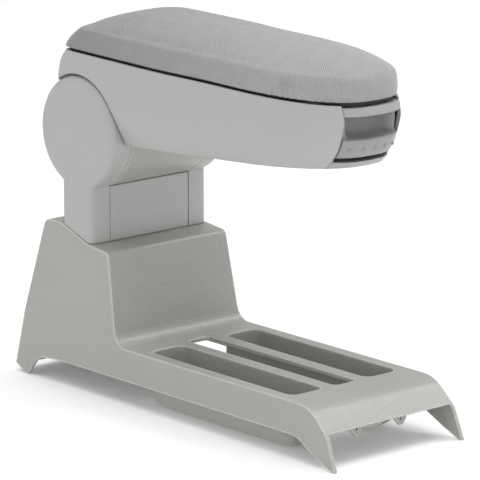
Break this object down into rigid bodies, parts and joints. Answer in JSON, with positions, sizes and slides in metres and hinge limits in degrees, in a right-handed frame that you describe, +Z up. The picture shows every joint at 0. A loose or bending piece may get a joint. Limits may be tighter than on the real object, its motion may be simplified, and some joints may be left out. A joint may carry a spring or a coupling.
{
  "type": "car armrest",
  "caption": "Centre console armrest: a moulded bracket with coin pockets, a hinge column, and a fold-up arm with a storage bin under a padded cloth lid.",
  "frame": {"origin": "on the floor, in the middle of the bracket's length and width", "axes": "+X along the arm towards its front, +Y across it towards its left side, +Z up"},
  "size_m": [0.376, 0.132, 0.2989],
  "materials": {
    "moulded_grey_plastic": "fine moulded grain",
    "satin_grey_plastic": "satin",
    "dark_plastic": "matte",
    "nylon": "natural",
    "zinc_plated_steel": "zinc plated",
    "woven_cloth": "fine twill over foam",
    "pressed_board": "pressed fibre"
  },
  "bodies": {
    "bracket": {"console_base": "moulded_grey_plastic", "support_frame": "zinc_plated_steel", "frame_bolt_1": "zinc_plated_steel", "frame_bolt_2": "zinc_plated_steel", "frame_bolt_3": "zinc_plated_steel", "frame_bolt_4": "zinc_plated_steel", "left_cheek": "satin_grey_plastic", "right_cheek": "satin_grey_plastic", "column_front_panel": "satin_grey_plastic", "column_rear_panel": "satin_grey_plastic", "cheek_screw_1": "zinc_plated_steel", "cheek_screw_2": "zinc_plated_steel", "cheek_screw_3": "zinc_plated_steel", "cheek_screw_4": "zinc_plated_steel", "hinge_shaft": "zinc_plated_steel", "shaft_bush_left": "nylon", "shaft_bush_right": "nylon", "shaft_nut_left": "zinc_plated_steel", "shaft_nut_right": "zinc_plated_steel", "friction_washer_left": "zinc_plated_steel", "friction_washer_right": "zinc_plated_steel", "fold_stop_pin_left": "zinc_plated_steel", "fold_stop_pin_right": "zinc_plated_steel"},
    "arm": {"hinge_drum": "moulded_grey_plastic", "arm_shell": "satin_grey_plastic", "bin_liner": "moulded_grey_plastic", "front_bezel": "satin_grey_plastic", "saddle_bolt_1": "zinc_plated_steel", "saddle_bolt_2": "zinc_plated_steel", "saddle_bolt_3": "zinc_plated_steel", "saddle_bolt_4": "zinc_plated_steel", "bezel_screw_left": "zinc_plated_steel", "bezel_screw_right": "zinc_plated_steel", "latch_pin": "zinc_plated_steel", "lid_hinge_pin": "zinc_plated_steel"},
    "latch": {"latch_flap": "satin_grey_plastic"},
    "lid": {"lid_plate": "dark_plastic", "lid_board": "pressed_board", "lid_cushion": "woven_cloth", "lid_screw_1": "zinc_plated_steel", "lid_screw_2": "zinc_plated_steel", "lid_screw_3": "zinc_plated_steel", "lid_screw_4": "zinc_plated_steel"}
  },
  "joints": [
    {"name": "arm_fold", "type": "hinge", "parent": "bracket", "child": "arm", "pos_m": [-0.117, 0, 0.2035], "axis": [0, -1, 0], "range_deg": [0, 90]},
    {"name": "lid_open", "type": "hinge", "parent": "arm", "child": "lid", "pos_m": [-0.135, 0, 0.2615], "axis": [0, -1, 0], "range_deg": [0, 60]},
    {"name": "latch_press", "type": "hinge", "parent": "arm", "child": "latch", "pos_m": [0.138, 0, 0.226], "axis": [0, 1, 0], "range_deg": [0, 8], "stiffness_Nm_per_rad": 0.5, "springref_deg": -5.73}
  ]
}
